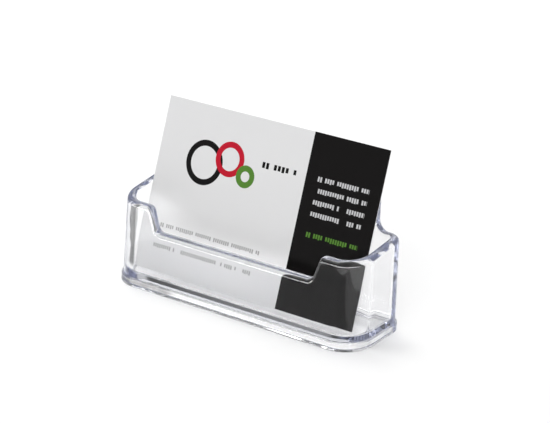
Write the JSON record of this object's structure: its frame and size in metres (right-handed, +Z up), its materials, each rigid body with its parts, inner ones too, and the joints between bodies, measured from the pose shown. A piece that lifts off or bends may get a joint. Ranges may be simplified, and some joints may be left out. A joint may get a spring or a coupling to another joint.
{
  "type": "business card holder",
  "caption": "Clear desktop holder for business cards, with a scooped front, raked walls and a raised back panel, and a card leaning in it.",
  "frame": {"origin": "on the desk, under the middle of the object's box", "axes": "+X along the width to the right of someone facing the front, +Y to the back, +Z up"},
  "size_m": [0.0962, 0.0298, 0.0546],
  "materials": {
    "clear_plastic": "clear polished polystyrene with a faint blue tint in its thick edges",
    "card_paper": "smooth pale card with a dark printed panel at its right"
  },
  "bodies": {
    "holder": {"holder": "clear_plastic"},
    "card": {"business_card": "card_paper"}
  },
  "joints": [
    {"name": "card_lift", "type": "slide", "parent": "holder", "child": "card", "axis": [0, 0.3825, 0.924], "range_m": [0, 0.06]}
  ]
}
